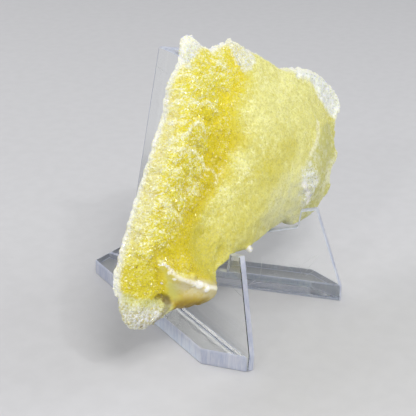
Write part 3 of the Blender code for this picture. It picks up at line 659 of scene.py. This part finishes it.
        # The painted shade's colour is lighter towards the top
        hollow = self.mix(up.rise(32.0, 50.0), druse["deep"], druse["lemon"])
        colour = self.mix(onLeft, druse["satin"], druse["body"])
        colour = self.mix(shade.within(0.0, 1.0), colour, self.mix(onLeft, druse["dull"], hollow))
        colour = self.mix(pale.within(0.0, 0.85), colour, druse["crown"])
        colour = self.mix(self.paintedHighlights, colour, druse["paintedGlint"])
        colour = self.mix(self.line("fold", 0.3, 3.0, 0.3) * 0.55, colour, druse["crown"])
        # Painted shade towards the bottom
        colour = self.mix(low * (0.35 - 0.15 * onLeft) * (1.0 - cream), colour, druse["dull"])
        return self.mix(cream * (0.3 + 0.4 * self.cloudy), colour, druse["marginTop"])

    def frost(self):
        frost = self.mix(self.cloudy * 0.6 + self.spotty * 0.4, druse["ice"], druse["cap"])
        return self.mix(self.fleck * 0.75, frost, druse["fleck"])

    # The right margin, the white patches, and painted highlights along the margin's edge
    def whitened(self, colour, frost):
        spotty, cloudy = self.spotty, self.cloudy
        pale = self.tone * 0.8 + self.streak.rise(0.4, 0.7) * 0.3 + spotty * 0.35 + cloudy * 0.5 - 0.3
        margin = self.mix(pale.within(0.0, 1.0), druse["margin"], druse["marginTop"])
        colour = self.mix(self.patch("margin", 0.4, 0.9), colour, margin)
        colour = self.mix(self.patch("granular", 1.0, 2.2) * (0.35 + 0.65 * spotty), colour, frost)
        colour = self.mix(self.line("glaze", 0.25, 1.3, 0.4) * (0.6 + 0.4 * cloudy), colour, druse["crest"])
        colour = self.mix(self.patch("topPatch", 0.8, 0.8) * (0.4 + 0.5 * spotty), colour, frost)
        colour = self.mix(self.patch("cap", 0.9, 1.4) * 0.95, colour, frost)
        return self.mix(self.line("ridge", 0.5, 1.6, 0.2) * (0.2 + 0.4 * spotty), colour, druse["crest"])

    # The low lobe, the lip with its pale edge as a painted highlight and painted shade below it, and the horn
    def withEnds(self, colour, frost):
        spotty = self.spotty
        rime = (self.attribute("lobeEdge") + self.ragged * 0.7).rise(0.5, 5.0)
        lobe = self.mix(rime, druse["lobeTop"], druse["lobe"])
        # Painted highlights along the grains' upper edges
        lobe = self.mix((self.grainTop * 0.5 + spotty * 0.45) * (0.3 + 0.7 * rime), lobe, druse["cap"])
        colour = self.mix(self.patch("lobe", 0.3, 0.7), colour, lobe)
        # Painted shade deepening away from the lip's crest
        shade = self.line("crest", 0.3, 0.8, 5.5) * 1.05 - self.tone * 0.4 - (self.cloudy - 0.5) * 0.4
        shade += (0.5 - self.fine) * 0.8
        under = self.mix(shade.within(0.0, 1.0), druse["lipTop"], druse["lip"])
        under = self.mix(self.attribute("valleySide").rise(-8.0, -11.0) * 0.8, under, druse["lobeTop"])
        under = self.mix(self.patch("shade", 0.3, 1.4), under, druse["orange"])
        colour = self.mix(self.lip, colour, under)
        # Painted highlight in white along the lip's crest and on the beads
        crest = (self.line("crest", 0.2, 0.8, 0.2) * 0.75).most(self.bead)
        colour = self.mix(crest, colour, druse["crest"])
        horn = self.mix(0.5, frost, druse["ice"])
        return self.mix(self.patch("horn", 0.8, 1.5) * (0.75 + 0.25 * spotty), colour, horn)

    # Painted shade on the sides of the smallest grains, less towards the top
    def grainSideShaded(self, colour):
        grainSideShade = self.fine.rise(0.52, 0.34) * (1.0 - self.lip * 0.6) * (0.4 + 0.15 * self.grainy)
        grainSideShade *= 1.0 - self.up.rise(36.0, 52.0) * 0.4
        shaded = self.mix(self.onLeft, druse["grainSideShadeRight"], druse["grainSideShade"])
        return self.mix(grainSideShade, colour, shaded)

    # The broken rim and the back show the pale rock under the druse
    def broken(self, colour):
        up, lip, outward = self.up, self.lip, self.outward
        thin = outward.rise(0.75, 0.35) * up.rise(6.0, 14.0) * (0.35 + 0.25 * self.side.rise(-12.0, -4.0))
        colour = self.mix(thin, colour, druse["rim"])
        height = self.attribute("height") + self.ragged * 0.3
        rim = height.rise(5.0, 3.4).most(outward.rise(0.85, 0.70) * self.side.rise(30.0, 45.0) * 0.8)
        colour = self.mix(rim * up.rise(4.0, 9.0) * (1.0 - lip), colour, druse["rim"])
        cloud = self.cloudy * 0.35 + self.spotty * 0.35 + self.wide.rise(0.4, 0.6) * 0.3
        rock = self.mix(cloud, druse["matrix"], druse["rim"])
        rock = self.mix(self.fleck * 0.4, rock, druse["dusk"])
        colour = self.mix(outward.rise(0.0, -0.2) * (1.0 - lip * 0.7) * up.rise(1.0, 8.0), colour, rock)
        return self.mix(outward.rise(-0.3, -0.6), colour, rock)

    # A brown stain and dark specks, and painted shade in grey along the lobe's right edge
    def stainedAndShaded(self, colour):
        toFront = self.outward.rise(-0.3, 0.1)
        colour = self.mix(self.line("dusk", 0.2, 1.3, 0.3) * 0.7 * toFront, colour, druse["dusk"])
        stain = self.line("stain", 0.3, 1.2, 0.3) * (0.5 + 0.4 * self.cloudy) * (1.0 - self.bead) * toFront
        self.stain = stain.most(self.attribute("speck").rise(0.0, 0.6) * 0.7)
        return self.mix(self.stain, colour, druse["stain"])

    # Some loose crystals carry painted glints in near white, and some are deep yellow
    def single(self, colour):
        own = self.attribute("own")
        clean = (1.0 - self.stain) * (0.35 + 0.65 * self.grainy) * (1.0 - self.low * 0.4)
        clean *= (1.0 - self.dark * 0.5) * (1.0 - self.deep * 0.4) * (1.0 - self.up.rise(36.0, 52.0) * 0.4)
        glint = (own + self.paintedHighlights * 0.3 + self.tone * 0.1).rise(0.65, 0.95)
        colour = self.mix(glint * 0.75 * clean, colour, druse["paintedGlint"])
        self.set("Roughness", brucite["crystalRoughness"] + own * 0.2)
        return self.mix(own.rise(0.35, 0.1) * 0.35 * clean, colour, druse["deep"])

    def sugared(self):
        sugar = self.cells(brucite["sugarSize"], place=self.where)
        self.set("Roughness", brucite["roughness"] + (1.0 - self.lip * 0.6) * (0.14 + self.fine * 0.3))
        self.bump((sugar * 0.6 + self.fine * 0.4) * (1.0 - self.lip * 0.5), brucite["sugarDepth"], 0.8)


def bruciteLook(name, loose):
    look = DruseLook(name, loose)
    frost = look.frost()
    colour = look.withEnds(look.whitened(look.face(), frost), frost)
    colour = look.stainedAndShaded(look.broken(look.grainSideShaded(colour)))
    if loose:
        colour = look.single(colour)
    else:
        look.sugared()
    look.set("Base Color", colour)
    return look.material


def dressBrucite():
    base, values = buildCrust()
    base.name = "brucite_crust"
    base.data.materials.append(bruciteLook("brucite_drusy", False))
    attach(base, "root")
    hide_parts("brucite_crystal")
    face = (values["outward"] > 0.05) & (values["lipEdge"] < -0.3)
    loose = bruciteLook("brucite_small_crystals", True)
    smooth = [softStep(-1.0, 1.0, values[patch + "Edge"]) for patch in ("horn", "lobe", "cap", "margin")]
    share = 1.0 - crystals["thinning"] * np.max(smooth, axis=0)
    for kind, (name, wanted) in enumerate((("brucite_crystals_left", values["valleySide"] < 2.0),
                                           ("brucite_crystals_right", values["valleySide"] >= 2.0))):
        piece = buildCrystals(name, base, values, face & wanted, share, kind)
        piece.data.materials.append(loose)
        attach(piece, "root")


dressBrucite()


acrylic = {
    "ior": 1.49,
    "roughness": 0.012, "cutRoughness": 0.30,  # at their smoothest
    "tint": (0.99, 0.995, 0.995), "cutTint": display(0.95, 0.955, 1.0),
    "cutShade": display(0.76, 0.79, 0.90),  # the saw's streaks
    "cutClear": 0.42,  # share of the light that passes a cut edge
    "absorb": (0.88, 0.96, 0.95), "absorbDensity": 3.0,  # per metre
    "edgeWidth": 0.4, "footEdgeWidth": 0.45,  # mm, the broken edges
    "splay": math.radians(20.9), "inwardLean": math.radians(4.4),
}


def addAbsorption(look):
    absorb = look.node("ShaderNodeVolumeAbsorption", None, {
        "Color": acrylic["absorb"], "Density": acrylic["absorbDensity"]})
    look.join(look.tree.nodes["Material Output"].inputs["Volume"], absorb)


def polishedLook(name):
    look = Look(name, Base_Color=acrylic["tint"], Transmission_Weight=1.0, IOR=acrylic["ior"])
    place = look.place()
    where = look.noise(22.0, 1.0, place=place)
    scratch = look.cells(17.0, "DISTANCE_TO_EDGE", place=place).rise(0.004, 0.0) * where.rise(0.54, 0.62)
    dust = look.cells(1.7, place=place).rise(0.10, 0.04) * look.noise(6.0, place=place).rise(0.54, 0.66)
    haze = look.noise(14.0, 4.0, 0.6, place=place)
    look.set("Roughness", acrylic["roughness"] + haze.rise(0.45, 0.75) * 0.03 + scratch * 0.3 + dust * 0.4)
    look.bump(dust * 0.6 - scratch * 0.5, 0.04, 0.3)
    addAbsorption(look)
    return look.material


def cutLook(name):
    look = Look(name, Transmission_Weight=acrylic["cutClear"], IOR=acrylic["ior"])
    place = look.place()
    upright = look.node("ShaderNodeMapping", None, {"Vector": place, "Scale": (1.0, 1.0, 0.12)})
    drag = look.noise(0.35, 2.0, 0.6, place=upright)
    broad = look.noise(1.6, 3.0, 0.6, place=upright)
    worn = look.noise(5.0, 3.0, place=place)
    look.set("Base Color", look.mix(broad.rise(0.3, 0.7) * 0.5 + drag.rise(0.3, 0.7) * 0.35,
                                    acrylic["cutTint"], acrylic["cutShade"]))
    look.set("Roughness", acrylic["cutRoughness"] + drag * 0.16 + worn.rise(0.5, 0.7) * 0.12)
    look.bump(drag, 0.03, 0.5)
    addAbsorption(look)
    return look.material


# The node's solid with flat faces whole and its edges a little broken. A face that looks one of
# polishedWays is polished, and any other is a cut edge.
def cleanSheet(node, name, width, polishedWays):
    solid = bmesh.new()
    solid.from_mesh(node.data)
    bmesh.ops.remove_doubles(solid, verts=solid.verts, dist=1e-6)
    bmesh.ops.dissolve_limit(solid, angle_limit=math.radians(1.0), verts=solid.verts, edges=solid.edges)
    sharp = [edge for edge in solid.edges if edge.calc_face_angle(0.0) > math.radians(15.0)]
    bmesh.ops.bevel(solid, geom=sharp, offset=width * mm, segments=2, profile=0.5, affect="EDGES",
                    clamp_overlap=True)
    for face in solid.faces:
        face.smooth = False
        face.material_index = int(all(face.normal.dot(way) < 0.98 for way in polishedWays))
    mesh = bpy.data.meshes.new(name)
    solid.to_mesh(mesh)
    solid.free()
    return link(bpy.data.objects.new(name, mesh))


def dressEasel():
    splay, inward = acrylic["splay"], acrylic["inwardLean"]
    upright = Vector((0.0, 0.0, 1.0))
    mitre = Vector((1.0, 0.0, 0.0))
    for side, word in ((-1, "left"), (1, "right")):
        outward = Vector((side * math.cos(splay), math.sin(splay), 0.0))
        sheetWay = outward * math.cos(inward) + upright * math.sin(inward)
        plateWays = [sheetWay, -sheetWay, mitre, -mitre]
        footWays = [upright, -upright, -outward]  # its outer side is sawn
        for part, ways, width in (("_side_plate", plateWays, acrylic["edgeWidth"]),
                                  ("_foot", footWays, acrylic["footEdgeWidth"])):
            piece = cleanSheet(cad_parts[word + part], word + part + "_clear", width, ways)
            piece.data.materials.append(polishedLook(word + part + "_polished"))
            piece.data.materials.append(cutLook(word + part + "_cut"))
            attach(piece, "root")
            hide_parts(word + part)
            word + part + "_acrylic"
    print("easel dressed")


dressEasel()


studio = {
    "floor": display(0.80, 0.80, 0.81), "floorGrain": 0.97,  # the darkest share of it
    "floorSize": 6.0,  # metres
    "floorGap": 0.05,  # mm under the feet
    "world": (0.97, 0.98, 1.0), "worldStrength": 0.46,
    # Place and size in metres, watts, colour; each looks at the crust's middle
    "lights": {
        "key": ((-0.45, -0.60, 0.92), 0.40, 5.7, (1.0, 0.98, 0.95)),
        "fill": ((0.60, -0.65, 0.80), 0.80, 2.4, (0.94, 0.97, 1.0)),
        "back": ((-0.15, 0.80, 0.75), 0.60, 3.0, (1.0, 0.99, 0.97)),
        "glint": ((-0.30, -0.75, 0.85), 0.06, 1.4, (1.0, 1.0, 1.0)),
        "spark": ((-0.95, -0.15, 0.60), 0.06, 1.0, (1.0, 1.0, 1.0)),
    },
    "aim": (0.0, 0.0, 0.05),  # metres
}

view = {
    "place": (-0.2475, -0.1854, 0.1710),  # metres
    "turn": 53.414, "down": 24.077, "roll": -0.189,  # degrees
    "lens": 87.06, "sensor": 36.0,  # mm
}


def buildStudio():
    size, level = studio["floorSize"] / 2.0, -studio["floorGap"] * mm
    sheet = bpy.data.meshes.new("floor")
    sheet.from_pydata([(x * size, y * size, level) for x, y in ((-1, -1), (1, -1), (1, 1), (-1, 1))],
                      [], [(0, 1, 2, 3)])
    floor = link(bpy.data.objects.new("floor", sheet))
    look = Look("floor_paper", Roughness=0.6)
    grain = look.noise(6.0, 3.0)
    darker = tuple(c * studio["floorGrain"] for c in studio["floor"])
    look.set("Base Color", look.mix(grain.rise(0.3, 0.7), studio["floor"], darker))
    sheet.materials.append(look.material)
    world = bpy.data.worlds.new("studio")
    world.use_nodes = True
    back = world.node_tree.nodes["Background"]
    back.inputs["Color"].default_value = (*studio["world"], 1.0)
    back.inputs["Strength"].default_value = studio["worldStrength"]
    bpy.context.scene.world = world
    for name, (place, width, watts, colour) in studio["lights"].items():
        lamp = bpy.data.lights.new(name, "AREA")
        lamp.shape = "DISK"
        lamp.size = width
        lamp.energy = watts
        lamp.color = colour
        lampObject = link(bpy.data.objects.new(name, lamp))
        lampObject.location = place
        way = Vector(studio["aim"]) - Vector(place)
        lampObject.rotation_euler = way.to_track_quat("-Z", "Y").to_euler()
    print("studio built")


def buildCamera():
    lens = bpy.data.cameras.new("camera")
    lens.lens = view["lens"]
    lens.sensor_width = view["sensor"]
    lens.clip_start, lens.clip_end = 0.01, 20.0
    camera = link(bpy.data.objects.new("camera", lens))
    turn = Matrix.Rotation(math.radians(-view["turn"]), 4, "Z")
    down = Matrix.Rotation(math.radians(90.0 - view["down"]), 4, "X")
    roll = Matrix.Rotation(math.radians(view["roll"]), 4, "Z")
    camera.matrix_world = Matrix.Translation(view["place"]) @ turn @ down @ roll
    bpy.context.scene.camera = camera
    print("camera placed")


buildStudio()
buildCamera()
bpy.context.scene.view_settings.view_transform = "Standard"

bpy.context.view_layer.update()
